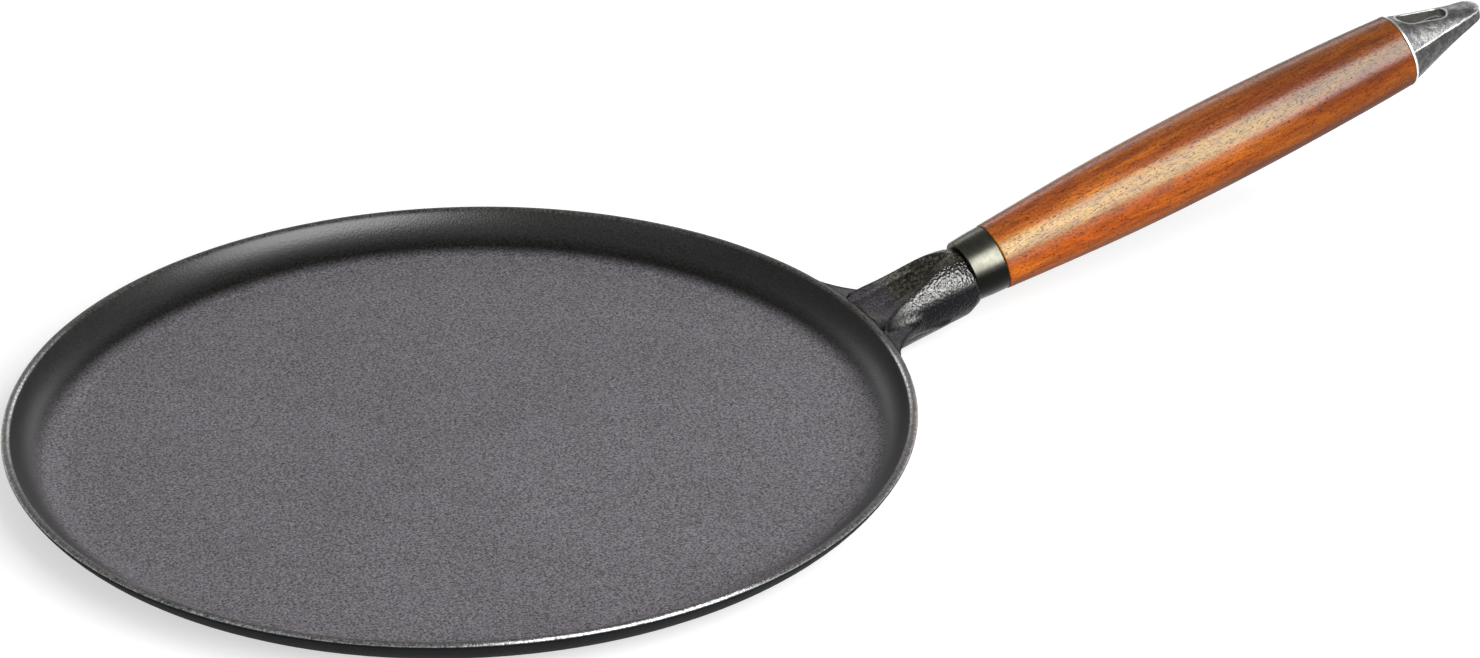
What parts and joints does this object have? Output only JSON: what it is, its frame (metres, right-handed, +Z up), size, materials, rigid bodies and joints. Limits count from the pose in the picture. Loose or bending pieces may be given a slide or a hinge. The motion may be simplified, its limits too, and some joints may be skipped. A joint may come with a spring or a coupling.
{
  "type": "crepe pan",
  "caption": "Shallow round cast-iron crepe pan with a low curved wall and a turned wooden handle that ends in a cast cap with a hanging slot.",
  "frame": {"origin": "centre of the flat base, on the surface the pan stands on", "axes": "+Z up out of the dish, +X from the centre of the dish towards the handle, +Y to the left of the handle seen from its free end"},
  "size_m": [0.5077, 0.28, 0.0807],
  "materials": {
    "enamelled_iron": "matte enamel inside the dish, gloss enamel outside",
    "ferrule_steel": "darkened satin",
    "stained_wood": "stained and varnished",
    "cast_cap": "as cast, tumbled",
    "rod_steel": "plain"
  },
  "bodies": {
    "root": {"pan_casting": "enamelled_iron", "handle_ferrule": "ferrule_steel", "wood_grip": "stained_wood", "end_cap": "cast_cap", "tie_rod": "rod_steel"}
  },
  "joints": []
}
